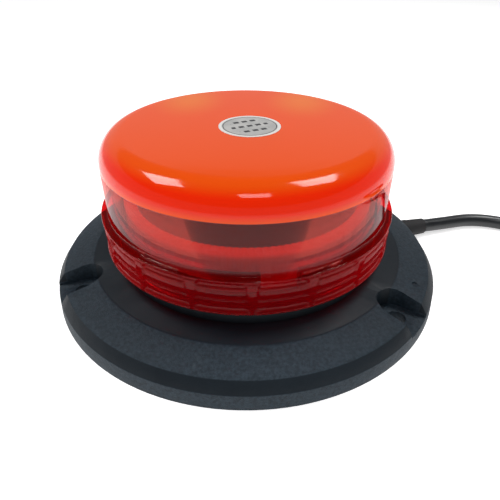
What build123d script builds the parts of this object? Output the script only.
from build123d import *
import math
import os

# Low-profile amber warning beacon: a black flange screwed down by three bolts, a twist-off amber
# lens with a ribbed grip collar, a ring of LEDs under a ribbed optic, and a two-core supply lead.
# Millimetres, +Z up, origin at the centre of the underside.
# An azimuth is in degrees from the front (-Y), growing towards +X.

# Driving dimensions of the base
BASE_RADIUS = 74.0
RIM_RADIUS = 73.4
RIM_HEIGHT = 5.6
CONE_OUTER_RADIUS = 70.8
CONE_OUTER_HEIGHT = 9.1
CONE_INNER_RADIUS = 59.5
DECK_RING_HEIGHT = 11.7
RIM_WALL = 3.0
FLANGE_WALL = 2.8
PLINTH_RADIUS = 50.0
PLINTH_HEIGHT = 17.4
CHAMBER_RADIUS = 48.6
CHAMBER_WALL_RADIUS = 52.5
DECK_THICKNESS = 2.5
SPIGOT_RADIUS = 48.3
SPIGOT_WALL = 2.5
SPIGOT_TOP = 28.8
STIFFENER_COUNT = 12
STIFFENER_THICKNESS = 1.6
STIFFENER_FOOT = 0.8

# Fixing bolts, in U-shaped pockets that open at the rim
BOLT_CIRCLE_RADIUS = 65.0
BOLT_COUNT = 3
BOLT_HOLE_RADIUS = 3.3
BOLT_AZIMUTH = -66.5
POCKET_WIDTH = 13.0
POCKET_END_RADIUS = 63.5
POCKET_FLOOR = 4.5
POCKET_BOSS_MARGIN = 2.6

# Gate mark on the cone
GATE_MARK_RADIUS = 1.3
GATE_MARK_DEPTH = 0.4
GATE_MARK_PLACE = 66.5
GATE_MARK_AZIMUTH = 66.0

# Lens
LENS_WALL = 2.2
LENS_WALL_RADIUS = 51.0
LENS_WALL_MIDDLE = 40.0
LENS_DRAFT = 0.85
LENS_TOP = 57.6
SHOULDER_RADIAL = 8.9
SHOULDER_HEIGHT = 9.2
COLLAR_RADIUS = 53.5
COLLAR_PANEL_RADIUS = 52.95
COLLAR_TOP = 30.9
COLLAR_LIP = 1.2
COLLAR_BEAD = 1.4
COLLAR_BEAD_BELOW_TOP = 2.6
GRIP_RIB_COUNT = 18
GRIP_RIB_AZIMUTH = 2.9
GRIP_RIB_RADIUS = 53.8
GRIP_RIB_TOP_WIDTH = 4.2
GRIP_RIB_FOOT_WIDTH = 1.7
LENS_FIT = 0.4
SEAL_GAP = 0.3

# Bayonet: lugs inside the collar, slots in the spigot
LUG_COUNT = 3
LUG_AZIMUTH = -6.5
LUG_ANGLE = 14.0
LUG_BOTTOM = 21.4
LUG_HEIGHT = 2.4
LUG_DEPTH = 2.0
LUG_CLEARANCE = 0.35
UNLOCK_ANGLE = 20.0

# Seals
SEAL_GROOVE_DEPTH = 1.2
SEAL_WIDTH = 1.2
SEAL_GROOVE_EDGE = 0.2
FOOT_SEAL_RADIUS = 72.3
FOOT_SEAL_WIDTH = 1.4
FOOT_SEAL_HEIGHT = 1.5

# Label
LABEL_RADIUS = 10.6
LABEL_THICKNESS = 0.12
LABEL_X = 0.8
LABEL_Y = -1.7

# Light engine
INNER_GAP = 0.6
SPREADER_THICKNESS = 1.5
BOARD_THICKNESS = 1.6
LED_COUNT = 24
LED_WIDTH = 2.8
LED_LENGTH = 3.5
LED_HEIGHT = 0.9
LED_CIRCLE_RADIUS = 43.1
OPTIC_INNER_RADIUS = 41.0
OPTIC_OUTER_RADIUS = 45.3
OPTIC_TOP = 35.0
OPTIC_FOOT_WALL = 0.7
OPTIC_CHANNEL_HEIGHT = 1.8
OPTIC_EDGE = 0.8
DISH_HUB_RADIUS = 7.0
DISH_HUB_HEIGHT = 4.8
DISH_RISE = 6.8
DISH_THICKNESS = 1.4
DISH_GAP = 0.4

# Screws
SCREW_RADIUS = 1.5
SCREW_HEAD_RADIUS = 2.7
SCREW_HEAD_HEIGHT = 1.6
SCREW_HOLE_GAP = 0.05
SCREW_CROSS_WIDTH = 0.6
SCREW_CROSS_DEPTH = 0.7
BOARD_SCREW_CIRCLE = 30.0
BOARD_SCREW_COUNT = 3
BOARD_SCREW_AZIMUTH = -6.5
BOARD_SCREW_BITE = 2.0

# Driver board under the deck
DRIVER_RADIUS = 34.0
DRIVER_DROP = 6.8
STANDOFF_RADIUS = 2.9
STANDOFF_AZIMUTH = 53.5
CHIP_SIZE = (6.5, 5.0, 1.7)
CHIP_PLACE = (-8.0, 4.0)
COIL_SIZE = (7.0, 7.0, 4.0)
COIL_PLACE = (6.0, -9.0)
COIL_CORNER = 1.6
CAPACITOR_RADIUS = 3.1
CAPACITOR_HEIGHT = 4.6
CAPACITOR_PLACES = ((-6.0, -8.0), (-13.5, -8.0))
TRANSISTOR_SIZE = (6.5, 6.0, 2.3)
TRANSISTOR_PLACES = ((-8.0, 14.0), (1.0, 14.0), (10.0, 14.0))
DIODE_SIZE = (4.5, 2.6, 2.1)
DIODE_PLACES = ((14.5, -14.0), (14.5, -18.0))
RESISTOR_SIZE = (3.2, 1.6, 0.6)
RESISTOR_COUNT = 6
RESISTOR_PITCH = 3.0
RESISTOR_ROW = (-17.0, 4.0)
FEED_PIN_RADIUS = 0.5
FEED_PIN_COUNT = 4
FEED_PIN_PITCH = 2.54
FEED_PIN_PLACE = (0.0, 22.0)
FEED_PIN_PROUD = 0.8
FEED_PIN_GAP = 0.3

# Bottom cover
COVER_THICKNESS = 2.0
COVER_GAP = 0.4
COVER_UNDERSIDE = 1.2
COVER_SEAT_WIDTH = 2.3
COVER_SCREW_COUNT = 4
COVER_SCREW_CIRCLE = 43.5
COVER_SCREW_BITE = 7.0
COVER_SCREW_SINK = 1.0
COVER_BOSS_RADIUS = 3.6

# Supply lead
CABLE_DIAMETER = 5.8
CABLE_AZIMUTH = 107.0
CABLE_EXIT_HEIGHT = 4.0
CABLE_FIT = 0.1
CABLE_INNER_ROUTE = ((64.0, 4.0), (46.0, 8.9), (38.0, 9.7))
CABLE_INNER_BEND = 16.0
GROMMET_WIDTH = 9.0
GROMMET_TOP = 8.0
GROMMET_LIP = 1.0
GROMMET_LIP_PROUD = 1.2
GROMMET_WALL_GAP = 0.1
RELIEF_END_RADIUS = 83.0
RELIEF_THICK = 3.9
RELIEF_THIN = 3.45
CLAMP_LENGTH = 6.0
CLAMP_WIDTH = 17.0
CLAMP_PLACE = 43.5
CLAMP_UNDERSIDE = 5.2
CLAMP_SCREW_OFFSET = 5.9
CORE_RADIUS = 0.95
CORE_SPREAD = 1.15
TERMINAL_SIZE = (9.0, 7.0, 4.6)
TERMINAL_PLACE = 27.0
# Free route on the floor: hand-chosen points after the strain relief, x, y, z
CABLE_ROUTE = (
    (90.6, 28.2, 3.3),
    (104.6, 32.7, 3.0),
    (118.0, 30.2, 3.0),
    (130.0, 22.5, 3.0),
    (139.5, 11.5, 3.3),
)
HANK_CENTRE = (180.6, 11.3)
HANK_START_ANGLE = 200.0
HANK_OUTER_TURN = 37.4
HANK_INNER_TURN = 20.6
HANK_HEIGHT = 3.8
HANK_CORNER = 2.6
TIE_ANGLE = 300.0
TIE_WIDTH = 3.6
TIE_THICKNESS = 0.8
TIE_GAP = 0.05
TIE_HEAD = (4.6, 5.4, 3.2)
HANK_END_ANGLE = 120.0
LEAD_BEND = 14.0
LEAD_SWEEP = 115.0
LEAD_TIP_SWEEP = 24.0
LEAD_TIP_RADIUS = 0.65
LEAD_DIP = 6.5

# Sizes that follow from the driving dimensions
DECK_TOP = PLINTH_HEIGHT + 0.9
DECK_UNDERSIDE = DECK_TOP - DECK_THICKNESS
SPIGOT_BORE = SPIGOT_RADIUS - SPIGOT_WALL
LENS_BOTTOM = PLINTH_HEIGHT + LENS_FIT
COLLAR_BORE = SPIGOT_RADIUS + LENS_FIT
SPREADER_TOP = DECK_TOP + SPREADER_THICKNESS
LED_BOARD_TOP = SPREADER_TOP + BOARD_THICKNESS
ENGINE_RADIUS = SPIGOT_BORE - INNER_GAP
DRIVER_TOP = DECK_UNDERSIDE - DRIVER_DROP
DRIVER_UNDERSIDE = DRIVER_TOP - BOARD_THICKNESS
COVER_TOP = COVER_UNDERSIDE + COVER_THICKNESS
COVER_RADIUS = CHAMBER_RADIUS + COVER_SEAT_WIDTH
CABLE_RADIUS = CABLE_DIAMETER / 2
SHOULDER_START = LENS_TOP - SHOULDER_HEIGHT
TALL = 200.0


def turned(points):
    """Solid of revolution about Z from a closed outline of radius and height pairs."""
    outline = make_face(Polyline(*points, close=True))
    return revolve(Plane.XZ * outline, Axis.Z, 360)


def ring(inner, outer, bottom, top):
    """Plain ring standing on the height bottom."""
    return turned(((inner, bottom), (outer, bottom), (outer, top), (inner, top)))


def disc(radius, bottom, top):
    """Plain disc standing on the height bottom."""
    return turned(((0, bottom), (radius, bottom), (radius, top), (0, top)))


def post(radius, bottom, top):
    """Upright cylinder on the Z axis."""
    return Pos(0, 0, (bottom + top) / 2) * Cylinder(radius, top - bottom)


def at_azimuth(shape, azimuth, radius=0.0):
    """Moves a shape made on the Z axis out to a radius at the front, then turns it to its azimuth."""
    return Rot(0, 0, azimuth) * (Pos(0, -radius, 0) * shape)


def around(count, first):
    """Azimuths of count evenly spaced features."""
    return [first + 360.0 * step / count for step in range(count)]


def wedge(angle, azimuth, bottom, top):
    """Sector of a disc, angle wide and centred on its azimuth, for cutting rings."""
    half = math.radians(angle / 2)
    reach = TALL * math.tan(half)
    face = make_face(Polyline((0, 0), (reach, -TALL), (-reach, -TALL), close=True))
    return Rot(0, 0, azimuth) * (Pos(0, 0, bottom) * extrude(face, top - bottom))


def cone_height(radius):
    """Height of the sloping top of the flange at a radius."""
    share = (radius - CONE_INNER_RADIUS) / (CONE_OUTER_RADIUS - CONE_INNER_RADIUS)
    return DECK_RING_HEIGHT + share * (CONE_OUTER_HEIGHT - DECK_RING_HEIGHT)


def pan_screw(head_bottom, tip, down):
    """Pan-head screw on the Z axis: head on the height head_bottom, shank towards the tip."""
    head_top = head_bottom + SCREW_HEAD_HEIGHT
    low, high = (tip, head_bottom) if down else (head_top, tip)
    screw = post(SCREW_HEAD_RADIUS, head_bottom, head_top) + post(SCREW_RADIUS, low, high)
    face = head_top if down else head_bottom
    for turn in (0, 90):
        cross = Box(SCREW_HEAD_RADIUS * 1.3, SCREW_CROSS_WIDTH, SCREW_CROSS_DEPTH * 2)
        screw -= Pos(0, 0, face) * Rot(0, 0, turn) * cross
    return screw


def cable_inner_path():
    """Centreline of the lead inside the base, from the strain relief's end to its cut sheath."""
    points = [(RELIEF_END_RADIUS, CABLE_EXIT_HEIGHT), *CABLE_INNER_ROUTE]
    run = [Vector(0, -radius, height) for radius, height in points]
    bends = [CABLE_INNER_BEND] * (len(run) - 2)
    return Rot(0, 0, CABLE_AZIMUTH) * FilletPolyline(*run, radius=bends)


def along(path, radius):
    """Round tube swept along a path."""
    return sweep(Plane(origin=path @ 0, z_dir=path % 0) * Circle(radius), path=path)


def pocket_cutter():
    """U-shaped pocket at the front: a round inner end, open at the rim, with a flat floor."""
    length = TALL
    lane = Pos(0, -POCKET_END_RADIUS - length / 2, POCKET_FLOOR + length / 2)
    nose = post(POCKET_WIDTH / 2, POCKET_FLOOR, POCKET_FLOOR + length)
    return lane * Box(POCKET_WIDTH, length, length) + Pos(0, -POCKET_END_RADIUS, 0) * nose


def pocket_boss():
    """Solid block under and around a pocket, before it is trimmed to the flange."""
    width = POCKET_WIDTH + 2 * POCKET_BOSS_MARGIN
    lane = Pos(0, -POCKET_END_RADIUS - TALL / 2, TALL / 2) * Box(width, TALL, TALL)
    return lane + Pos(0, -POCKET_END_RADIUS, 0) * post(width / 2, 0, TALL)


def base_outline():
    """Outer skin of the base, as radius and height pairs from the foot to the deck's centre."""
    return [
        (BASE_RADIUS, 0),
        (RIM_RADIUS, RIM_HEIGHT),
        (CONE_OUTER_RADIUS, CONE_OUTER_HEIGHT),
        (CONE_INNER_RADIUS, DECK_RING_HEIGHT),
        (PLINTH_RADIUS, DECK_RING_HEIGHT),
        (PLINTH_RADIUS, PLINTH_HEIGHT),
        (SPIGOT_RADIUS, PLINTH_HEIGHT),
        (SPIGOT_RADIUS, SPIGOT_TOP),
        (SPIGOT_BORE, SPIGOT_TOP),
        (SPIGOT_BORE, DECK_TOP),
        (0, DECK_TOP),
    ]


def flange_hollow():
    """Ring-shaped hollow under the flange, before stiffeners and bolt bosses are put back."""
    outer = BASE_RADIUS - RIM_WALL
    return turned((
        (CHAMBER_WALL_RADIUS, 0),
        (outer, 0),
        (outer, RIM_HEIGHT - 0.6),
        (CONE_OUTER_RADIUS - 1.8, CONE_OUTER_HEIGHT - FLANGE_WALL + 0.4),
        (CONE_INNER_RADIUS, DECK_RING_HEIGHT - FLANGE_WALL),
        (CHAMBER_WALL_RADIUS, DECK_RING_HEIGHT - FLANGE_WALL),
    ))


def base_housing():
    solid = turned([(0, 0), *base_outline()])
    hollow = flange_hollow()
    for azimuth in around(STIFFENER_COUNT, CABLE_AZIMUTH + 180.0 / STIFFENER_COUNT):
        span = BASE_RADIUS - CHAMBER_WALL_RADIUS
        rib = Box(STIFFENER_THICKNESS, span + RIM_WALL, TALL)
        rib = Pos(0, 0, STIFFENER_FOOT + TALL / 2) * rib
        hollow -= at_azimuth(rib, azimuth, CHAMBER_WALL_RADIUS + span / 2)
    for azimuth in around(BOLT_COUNT, BOLT_AZIMUTH):
        hollow -= at_azimuth(pocket_boss(), azimuth)
    solid -= hollow
    chamber = disc(CHAMBER_RADIUS, 0, DECK_UNDERSIDE)
    for azimuth in cover_screw_azimuths():
        boss = post(COVER_BOSS_RADIUS, COVER_TOP, DECK_UNDERSIDE)
        chamber -= at_azimuth(boss, azimuth, COVER_SCREW_CIRCLE)
    solid -= chamber
    solid -= disc(COVER_RADIUS + COVER_GAP, 0, COVER_TOP)
    solid -= ring(0, CHAMBER_WALL_RADIUS, 0, COVER_UNDERSIDE - 0.4)
    for azimuth in around(BOLT_COUNT, BOLT_AZIMUTH):
        solid -= at_azimuth(pocket_cutter(), azimuth)
        solid -= at_azimuth(post(BOLT_HOLE_RADIUS, -1, TALL), azimuth, BOLT_CIRCLE_RADIUS)
    solid -= bayonet_slots()
    groove_top = PLINTH_HEIGHT + 1
    groove_inner = SPIGOT_RADIUS + SEAL_GROOVE_EDGE
    solid -= ring(groove_inner, groove_inner + SEAL_WIDTH, PLINTH_HEIGHT - SEAL_GROOVE_DEPTH, groove_top)
    foot_inner = FOOT_SEAL_RADIUS - FOOT_SEAL_WIDTH / 2
    solid -= ring(foot_inner, foot_inner + FOOT_SEAL_WIDTH, -1, FOOT_SEAL_HEIGHT)
    gate = post(GATE_MARK_RADIUS, 0, TALL)
    gate = at_azimuth(gate, GATE_MARK_AZIMUTH, GATE_MARK_PLACE)
    solid -= Pos(0, 0, cone_height(GATE_MARK_PLACE) - GATE_MARK_DEPTH) * gate
    pilot = SCREW_RADIUS + SCREW_HOLE_GAP
    for azimuth in cover_screw_azimuths():
        hole = post(pilot, 0, COVER_TOP + COVER_SCREW_BITE + 1)
        solid -= at_azimuth(hole, azimuth, COVER_SCREW_CIRCLE)
    through = post(pilot, DECK_UNDERSIDE - 1, DECK_TOP + 1)
    for azimuth in around(BOARD_SCREW_COUNT, BOARD_SCREW_AZIMUTH):
        solid -= at_azimuth(through, azimuth, BOARD_SCREW_CIRCLE)
    solid -= through
    for azimuth in around(BOARD_SCREW_COUNT, STANDOFF_AZIMUTH):
        solid -= at_azimuth(through, azimuth, BOARD_SCREW_CIRCLE)
    solid -= feed_pin_holes()
    for side in (-1, 1):
        solid -= clamp_place(Pos(side * CLAMP_SCREW_OFFSET, 0, 0) * through)
    solid -= grommet_block(0.0)
    solid -= along(cable_inner_path(), CABLE_RADIUS + CABLE_FIT)
    return solid


def cover_screw_azimuths():
    return around(COVER_SCREW_COUNT, CABLE_AZIMUTH + 180.0 / COVER_SCREW_COUNT)


def bayonet_slots():
    """Three L-shaped slots through the spigot: an entry from above and a run under the locked lug."""
    inner = SPIGOT_BORE - 1
    outer = SPIGOT_RADIUS + SEAL_GROOVE_EDGE
    low = LUG_BOTTOM - LUG_CLEARANCE
    high = LUG_BOTTOM + LUG_HEIGHT + LUG_CLEARANCE
    play = math.degrees(LUG_CLEARANCE / SPIGOT_RADIUS)
    slots = None
    for azimuth in around(LUG_COUNT, LUG_AZIMUTH):
        middle = azimuth + UNLOCK_ANGLE / 2
        run = ring(inner, outer, low, high) & wedge(LUG_ANGLE + UNLOCK_ANGLE + 2 * play, middle, low, high)
        way_in = ring(inner, outer, low, SPIGOT_TOP + 1)
        way_in &= wedge(LUG_ANGLE + 2 * play, azimuth + UNLOCK_ANGLE, low, SPIGOT_TOP + 1)
        slot = run + way_in
        slots = slot if slots is None else slots + slot
    return slots


def lens_outline():
    """Outer half outline of the lens as edges, from the collar's foot to the centre of the top."""
    slope = math.tan(math.radians(LENS_DRAFT))
    foot_radius = LENS_WALL_RADIUS + (LENS_WALL_MIDDLE - COLLAR_TOP) * slope
    top_radius = LENS_WALL_RADIUS - (SHOULDER_START - LENS_WALL_MIDDLE) * slope
    bead_top = COLLAR_TOP - COLLAR_BEAD_BELOW_TOP
    points = [
        (COLLAR_BORE, LENS_BOTTOM),
        (COLLAR_RADIUS - 0.4, LENS_BOTTOM),
        (COLLAR_RADIUS, LENS_BOTTOM + 0.4),
        (COLLAR_RADIUS, LENS_BOTTOM + COLLAR_LIP),
        (COLLAR_PANEL_RADIUS, LENS_BOTTOM + COLLAR_LIP + 0.6),
        (COLLAR_PANEL_RADIUS, bead_top - 0.5),
        (COLLAR_PANEL_RADIUS - 0.3, bead_top),
        (COLLAR_PANEL_RADIUS - 0.3, COLLAR_TOP - COLLAR_BEAD),
        (COLLAR_RADIUS, COLLAR_TOP - COLLAR_BEAD + 0.5),
        (COLLAR_RADIUS, COLLAR_TOP - 0.3),
        (COLLAR_RADIUS - 0.3, COLLAR_TOP),
        (foot_radius, COLLAR_TOP),
        (top_radius, SHOULDER_START),
    ]
    flat = top_radius - SHOULDER_RADIAL
    return points, flat


def lens_shell():
    """Turned lens: collar and wall as straight runs, shoulder as a quarter of an ellipse."""
    points, flat = lens_outline()
    top_radius = points[-1][0]
    inner_top = LENS_TOP - LENS_WALL
    inner_start = SHOULDER_START - 0.6
    inner_radius = top_radius - LENS_WALL
    wall_bottom = COLLAR_TOP - 1.0
    outer = [
        Polyline(*points),
        EllipticalCenterArc((flat, SHOULDER_START), SHOULDER_RADIAL, SHOULDER_HEIGHT, 0, arc_size=90),
        Line((flat, LENS_TOP), (0, LENS_TOP)),
        Line((0, LENS_TOP), (0, inner_top)),
        Line((0, inner_top), (flat, inner_top)),
        EllipticalCenterArc((flat, inner_start), inner_radius - flat, inner_top - inner_start, 0, arc_size=90),
        Polyline(
            (inner_radius, inner_start),
            (COLLAR_BORE, wall_bottom),
            (COLLAR_BORE, LENS_BOTTOM),
        ),
    ]
    return revolve(Plane.XZ * make_face(outer), Axis.Z, 360)


def grip_rib():
    """Wedge on the collar at the front, broad under the bead and narrow at the foot."""
    top = COLLAR_TOP - COLLAR_BEAD
    foot = LENS_BOTTOM + 0.5
    half_top = GRIP_RIB_TOP_WIDTH / 2
    half_foot = GRIP_RIB_FOOT_WIDTH / 2
    face = make_face(Polyline((-half_foot, foot), (half_foot, foot), (half_top, top), (-half_top, top), close=True))
    depth = GRIP_RIB_RADIUS - COLLAR_PANEL_RADIUS + 1.2
    block = extrude(Plane.XZ * face, depth)
    return Pos(0, depth - GRIP_RIB_RADIUS - 0.2, 0) * block


def lens():
    solid = lens_shell()
    skin = ring(COLLAR_PANEL_RADIUS - 0.8, GRIP_RIB_RADIUS, LENS_BOTTOM, COLLAR_TOP)
    for azimuth in around(GRIP_RIB_COUNT, GRIP_RIB_AZIMUTH):
        solid += at_azimuth(grip_rib(), azimuth) & skin
    lug_top = LUG_BOTTOM + LUG_HEIGHT
    lug_ring = ring(COLLAR_BORE - LUG_DEPTH, COLLAR_BORE + 0.5, LUG_BOTTOM, lug_top)
    for azimuth in around(LUG_COUNT, LUG_AZIMUTH):
        solid += lug_ring & wedge(LUG_ANGLE, azimuth, LUG_BOTTOM, lug_top)
    return solid


def lens_seal():
    inner = SPIGOT_RADIUS + SEAL_GROOVE_EDGE
    bottom = PLINTH_HEIGHT - SEAL_GROOVE_DEPTH
    return ring(inner, inner + SEAL_WIDTH, bottom, LENS_BOTTOM - SEAL_GAP)


def foot_seal():
    """Sealing ring in the rim's underside, cut short each side of the grommet."""
    inner = FOOT_SEAL_RADIUS - FOOT_SEAL_WIDTH / 2
    seal = ring(inner, inner + FOOT_SEAL_WIDTH, 0, FOOT_SEAL_HEIGHT)
    return seal - grommet_block(0.0)


def rating_label():
    return Pos(LABEL_X, LABEL_Y, 0) * disc(LABEL_RADIUS, LENS_TOP, LENS_TOP + LABEL_THICKNESS)


def engine_plate(bottom, top):
    """Round plate of the light engine with its screw and feed holes."""
    plate = disc(ENGINE_RADIUS, bottom, top)
    hole = post(SCREW_RADIUS + SCREW_HOLE_GAP, bottom - 1, top + 1)
    plate -= hole
    for azimuth in around(BOARD_SCREW_COUNT, BOARD_SCREW_AZIMUTH):
        plate -= at_azimuth(hole, azimuth, BOARD_SCREW_CIRCLE)
    return plate - feed_pin_holes()


def heat_spreader():
    return engine_plate(DECK_TOP, SPREADER_TOP)


def led_board():
    return engine_plate(SPREADER_TOP, LED_BOARD_TOP)


def leds():
    chip = Pos(0, 0, LED_BOARD_TOP + LED_HEIGHT / 2) * Box(LED_LENGTH, LED_WIDTH, LED_HEIGHT)
    return [at_azimuth(chip, azimuth, LED_CIRCLE_RADIUS) for azimuth in around(LED_COUNT, 0)]


def optic_ring():
    channel_inner = OPTIC_INNER_RADIUS + OPTIC_FOOT_WALL
    channel_outer = OPTIC_OUTER_RADIUS - OPTIC_FOOT_WALL
    channel_top = LED_BOARD_TOP + OPTIC_CHANNEL_HEIGHT
    return turned((
        (OPTIC_INNER_RADIUS, LED_BOARD_TOP),
        (channel_inner, LED_BOARD_TOP),
        (channel_inner, channel_top),
        (channel_outer, channel_top),
        (channel_outer, LED_BOARD_TOP),
        (OPTIC_OUTER_RADIUS, LED_BOARD_TOP),
        (OPTIC_OUTER_RADIUS, OPTIC_TOP - OPTIC_EDGE),
        (OPTIC_OUTER_RADIUS - OPTIC_EDGE, OPTIC_TOP),
        (OPTIC_INNER_RADIUS + OPTIC_EDGE, OPTIC_TOP),
        (OPTIC_INNER_RADIUS, OPTIC_TOP - OPTIC_EDGE),
    ))


def centre_dish():
    """Shallow reflector dish on a hub that the centre screw holds down."""
    edge = OPTIC_INNER_RADIUS - DISH_GAP
    hub_top = LED_BOARD_TOP + DISH_HUB_HEIGHT
    dish = turned((
        (0, LED_BOARD_TOP),
        (DISH_HUB_RADIUS, LED_BOARD_TOP),
        (DISH_HUB_RADIUS, hub_top - DISH_THICKNESS),
        (edge, hub_top - DISH_THICKNESS + DISH_RISE),
        (edge, hub_top + DISH_RISE),
        (DISH_HUB_RADIUS, hub_top),
        (0, hub_top),
    ))
    return dish - post(SCREW_RADIUS + SCREW_HOLE_GAP, 0, TALL)


def dish_screw():
    return pan_screw(LED_BOARD_TOP + DISH_HUB_HEIGHT, DECK_UNDERSIDE + 0.3, True)


def led_board_screws():
    screw = pan_screw(LED_BOARD_TOP, DECK_UNDERSIDE + 0.3, True)
    return [at_azimuth(screw, a, BOARD_SCREW_CIRCLE) for a in around(BOARD_SCREW_COUNT, BOARD_SCREW_AZIMUTH)]


def driver_board():
    board = disc(DRIVER_RADIUS, DRIVER_UNDERSIDE, DRIVER_TOP)
    hole = post(SCREW_RADIUS + SCREW_HOLE_GAP, 0, DRIVER_TOP + 1)
    for azimuth in around(BOARD_SCREW_COUNT, STANDOFF_AZIMUTH):
        board -= at_azimuth(hole, azimuth, BOARD_SCREW_CIRCLE)
    return board - feed_pin_holes()


def standoffs():
    spacer = ring(SCREW_RADIUS + SCREW_HOLE_GAP, STANDOFF_RADIUS, DRIVER_TOP, DECK_UNDERSIDE)
    return [at_azimuth(spacer, a, BOARD_SCREW_CIRCLE) for a in around(BOARD_SCREW_COUNT, STANDOFF_AZIMUTH)]


def driver_board_screws():
    screw = pan_screw(DRIVER_UNDERSIDE - SCREW_HEAD_HEIGHT, DECK_UNDERSIDE + BOARD_SCREW_BITE, False)
    return [at_azimuth(screw, a, BOARD_SCREW_CIRCLE) for a in around(BOARD_SCREW_COUNT, STANDOFF_AZIMUTH)]


def on_driver_board(size, place):
    return Pos(place[0], place[1], DRIVER_TOP + size[2] / 2) * Box(*size)


def driver_chip():
    return on_driver_board(CHIP_SIZE, CHIP_PLACE)


def choke():
    block = on_driver_board(COIL_SIZE, COIL_PLACE)
    return fillet(block.edges().filter_by(Axis.Z), COIL_CORNER)


def capacitors():
    can = post(CAPACITOR_RADIUS, DRIVER_TOP, DRIVER_TOP + CAPACITOR_HEIGHT)
    return [Pos(x, y, 0) * can for x, y in CAPACITOR_PLACES]


def transistors():
    return [on_driver_board(TRANSISTOR_SIZE, place) for place in TRANSISTOR_PLACES]


def diodes():
    return [on_driver_board(DIODE_SIZE, place) for place in DIODE_PLACES]


def resistors():
    x, y = RESISTOR_ROW
    return [on_driver_board(RESISTOR_SIZE, (x, y + RESISTOR_PITCH * step)) for step in range(RESISTOR_COUNT)]


def feed_pin_row(radius, bottom, top):
    x, y = FEED_PIN_PLACE
    first = x - FEED_PIN_PITCH * (FEED_PIN_COUNT - 1) / 2
    pin = post(radius, bottom, top)
    return [Pos(first + FEED_PIN_PITCH * step, y, 0) * pin for step in range(FEED_PIN_COUNT)]


def feed_pins():
    return feed_pin_row(FEED_PIN_RADIUS, DRIVER_UNDERSIDE - FEED_PIN_PROUD, LED_BOARD_TOP + FEED_PIN_PROUD)


def feed_pin_holes():
    """Holes for the feed pins: close in the boards, so the pins are held there."""
    x, y = FEED_PIN_PLACE
    span = FEED_PIN_PITCH * (FEED_PIN_COUNT - 1)
    middle = (DECK_UNDERSIDE + SPREADER_TOP) / 2
    window = Box(span + 3, 3, SPREADER_TOP - DECK_UNDERSIDE)
    holes = Pos(x, y, middle) * window
    for pin in feed_pin_row(FEED_PIN_RADIUS + SCREW_HOLE_GAP, 0, LED_BOARD_TOP + 1):
        holes += pin
    return holes


def bottom_cover():
    cover = disc(COVER_RADIUS, COVER_UNDERSIDE, COVER_TOP)
    for azimuth in cover_screw_azimuths():
        hole = post(SCREW_RADIUS + SCREW_HOLE_GAP, 0, COVER_TOP + 1)
        sink = post(SCREW_HEAD_RADIUS + 0.3, 0, COVER_UNDERSIDE + COVER_SCREW_SINK)
        cover -= at_azimuth(hole + sink, azimuth, COVER_SCREW_CIRCLE)
    return cover


def cover_screws():
    seat = COVER_UNDERSIDE + COVER_SCREW_SINK
    screw = pan_screw(seat - SCREW_HEAD_HEIGHT, COVER_TOP + COVER_SCREW_BITE, False)
    return [at_azimuth(screw, azimuth, COVER_SCREW_CIRCLE) for azimuth in cover_screw_azimuths()]


def grommet_block(gap):
    """Block with a round top in the rim, gap smaller all round than its notch."""
    half = GROMMET_WIDTH / 2 - gap
    top = GROMMET_TOP - gap
    inner = BASE_RADIUS - RIM_WALL - GROMMET_LIP
    length = BASE_RADIUS + 0.5 - inner
    face = make_face([
        Line((-half, 0), (half, 0)),
        Line((half, 0), (half, top - half)),
        CenterArc((0, top - half), half, 0, 180),
        Line((-half, top - half), (-half, 0)),
    ])
    block = extrude(Plane.XZ * face, length)
    return Rot(0, 0, CABLE_AZIMUTH) * (Pos(0, -inner, 0) * block)


def cable_grommet():
    """Moulded grommet in the rim's notch, with a lip inside and a tapered strain relief outside."""
    block = grommet_block(GROMMET_WALL_GAP)
    start = BASE_RADIUS - 0.5
    length = RELIEF_END_RADIUS - start
    middle = start + length / 2
    taper = Rot(90, 0, 0) * Cone(RELIEF_THICK, RELIEF_THIN, length)
    sleeve = Pos(0, -middle, CABLE_EXIT_HEIGHT) * taper
    body = block + Rot(0, 0, CABLE_AZIMUTH) * sleeve
    return body - along(cable_inner_path(), CABLE_RADIUS + GROMMET_WALL_GAP)


def cable_inner():
    return along(cable_inner_path(), CABLE_RADIUS)


def clamp_place(shape):
    return at_azimuth(shape, CABLE_AZIMUTH, CLAMP_PLACE)


def cable_clamp():
    height = DECK_UNDERSIDE - CLAMP_UNDERSIDE
    block = Pos(0, 0, CLAMP_UNDERSIDE + height / 2) * Box(CLAMP_WIDTH, CLAMP_LENGTH, height)
    block = fillet(block.edges().filter_by(Axis.Z), 1.5)
    for side in (-1, 1):
        block -= Pos(side * CLAMP_SCREW_OFFSET, 0, 0) * post(SCREW_RADIUS + SCREW_HOLE_GAP, 0, TALL)
    return clamp_place(block) - along(cable_inner_path(), CABLE_RADIUS + CABLE_FIT)


def clamp_screws():
    screw = pan_screw(CLAMP_UNDERSIDE - SCREW_HEAD_HEIGHT, DECK_UNDERSIDE + BOARD_SCREW_BITE, False)
    return [clamp_place(Pos(side * CLAMP_SCREW_OFFSET, 0, 0) * screw) for side in (-1, 1)]


def terminal_block():
    width, length, height = TERMINAL_SIZE
    block = Pos(0, 0, DRIVER_TOP + height / 2) * Box(width, length, height)
    return at_azimuth(block, CABLE_AZIMUTH, TERMINAL_PLACE)


def inner_core(side):
    """Insulated core from the cut sheath to the terminal block."""
    start_radius, start_height = CABLE_INNER_ROUTE[-1]
    end_radius = TERMINAL_PLACE + TERMINAL_SIZE[1] / 2
    end_height = DRIVER_TOP + TERMINAL_SIZE[2] / 2
    start = Vector(side * CORE_SPREAD, -start_radius, start_height)
    end = Vector(side * CORE_SPREAD * 1.8, -end_radius, end_height)
    core = along(Line(start, end), CORE_RADIUS)
    return Rot(0, 0, CABLE_AZIMUTH) * core


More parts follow.
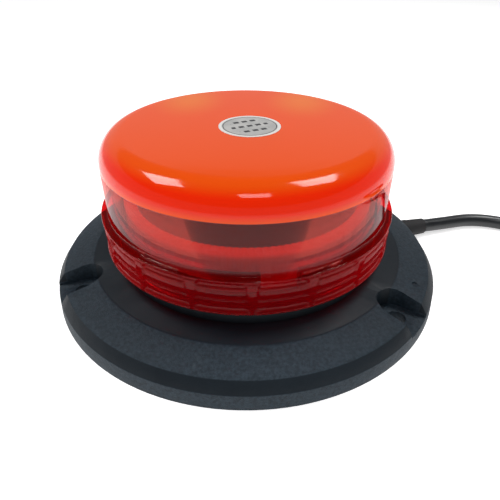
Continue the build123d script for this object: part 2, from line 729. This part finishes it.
def cable_route():
    """Free lead's points: strain relief's end, the chosen route, then the start of the coil."""
    turn = math.radians(CABLE_AZIMUTH)
    first = (RELIEF_END_RADIUS * math.sin(turn), -RELIEF_END_RADIUS * math.cos(turn), CABLE_EXIT_HEIGHT)
    start = math.radians(HANK_START_ANGLE)
    last = (
        HANK_CENTRE[0] + HANK_OUTER_TURN * math.cos(start),
        HANK_CENTRE[1] + HANK_OUTER_TURN * math.sin(start),
        HANK_HEIGHT,
    )
    return [Vector(*point) for point in (first, *CABLE_ROUTE, last)]


def cable_tube():
    points = cable_route()
    radii = []
    for before, corner, after in zip(points, points[1:], points[2:]):
        turn = math.radians((corner - before).get_angle(after - corner))
        shorter = min((corner - before).length, (after - corner).length)
        radii.append(0.45 * shorter / math.tan(turn / 2))
        print(f"bend {math.degrees(turn):.1f} deg, radius {radii[-1]:.1f}, run {shorter:.1f}")
    path = FilletPolyline(*points, radius=radii)
    tube = along(path, CABLE_RADIUS)
    section = math.pi * CABLE_RADIUS ** 2
    print(f"tube length {path.length:.1f}, volume {tube.volume:.1f}, section x length {section * path.length:.1f}")
    return tube


def cable_coil():
    """Outer shape of the put-away turns: a flat ring with rounded edges."""
    inner = HANK_INNER_TURN - CABLE_RADIUS
    outer = HANK_OUTER_TURN + CABLE_RADIUS
    bottom = HANK_HEIGHT - CABLE_RADIUS
    solid = ring(inner, outer, bottom, bottom + CABLE_DIAMETER)
    solid = fillet(solid.edges(), HANK_CORNER)
    return Pos(*HANK_CENTRE, 0) * solid


def coil_tie():
    """Tie round the turns: a strap with a rectangular loop and its square head."""
    inner = HANK_INNER_TURN - CABLE_RADIUS - TIE_GAP
    outer = HANK_OUTER_TURN + CABLE_RADIUS + 0.15
    bottom = HANK_HEIGHT - CABLE_RADIUS - TIE_GAP
    top = HANK_HEIGHT + CABLE_RADIUS + TIE_GAP
    span = outer - inner
    middle = ((inner + outer) / 2, 0, (bottom + top) / 2)
    thick = 2 * TIE_THICKNESS
    loop = Box(span + thick, TIE_WIDTH, top - bottom + thick) - Box(span, TIE_WIDTH + 1, top - bottom)
    head = Box(*TIE_HEAD)
    reach = outer + TIE_THICKNESS + TIE_HEAD[0] / 2 - 0.2
    tie = Pos(*middle) * loop + Pos(reach, 0, HANK_HEIGHT) * head
    return Pos(*HANK_CENTRE, 0) * Rot(0, 0, TIE_ANGLE) * tie


def lead_plane():
    """Plane of the bare leads' bend: it starts at the sheath's end and dips to the floor."""
    angle = math.radians(HANK_END_ANGLE)
    start = Vector(
        HANK_CENTRE[0] + HANK_INNER_TURN * math.cos(angle),
        HANK_CENTRE[1] + HANK_INNER_TURN * math.sin(angle),
        HANK_HEIGHT,
    )
    ahead = Vector(-math.sin(angle), math.cos(angle), 0)
    dip = math.radians(LEAD_DIP)
    inward = Vector(-math.cos(angle) * math.cos(dip), -math.sin(angle) * math.cos(dip), -math.sin(dip))
    return Plane(origin=start, x_dir=ahead, z_dir=ahead.cross(inward))


def lead(side, radius, first, last):
    """Round core on an arc about the bend's centre, side of the sheath's axis."""
    bend = LEAD_BEND + side * CORE_SPREAD
    arc = CenterArc((0, LEAD_BEND), bend, first - 90, last - first)
    path = lead_plane() * arc
    return along(path, radius)


def lead_tips():
    end = LEAD_SWEEP + LEAD_TIP_SWEEP
    return [lead(side, LEAD_TIP_RADIUS, LEAD_SWEEP, end) for side in (-1, 1)]


PARTS = {
    "base_housing": base_housing,
    "lens": lens,
    "lens_seal": lens_seal,
    "foot_seal": foot_seal,
    "rating_label": rating_label,
    "heat_spreader": heat_spreader,
    "led_board": led_board,
    "leds": leds,
    "optic_ring": optic_ring,
    "centre_dish": centre_dish,
    "dish_screw": dish_screw,
    "led_board_screws": led_board_screws,
    "driver_board": driver_board,
    "standoffs": standoffs,
    "driver_board_screws": driver_board_screws,
    "driver_chip": driver_chip,
    "choke": choke,
    "capacitors": capacitors,
    "transistors": transistors,
    "diodes": diodes,
    "resistors": resistors,
    "feed_pins": feed_pins,
    "bottom_cover": bottom_cover,
    "cover_screws": cover_screws,
    "cable_grommet": cable_grommet,
    "cable_inner": cable_inner,
    "cable_clamp": cable_clamp,
    "clamp_screws": clamp_screws,
    "terminal_block": terminal_block,
    "core_red_inner": lambda: inner_core(-1),
    "core_black_inner": lambda: inner_core(1),
    "cable_tube": cable_tube,
    "cable_coil": cable_coil,
    "coil_tie": coil_tie,
    "lead_red": lambda: lead(-1, CORE_RADIUS, 0, LEAD_SWEEP),
    "lead_black": lambda: lead(1, CORE_RADIUS, 0, LEAD_SWEEP),
    "lead_tips": lead_tips,
}

os.makedirs("parts", exist_ok=True)
for name, make in PARTS.items():
    shape = make()
    if isinstance(shape, list):
        shape = Compound(children=shape)
    shape.label = name
    export_step(shape, os.path.join("parts", name + ".step"))
    print(name, round(shape.volume, 1))
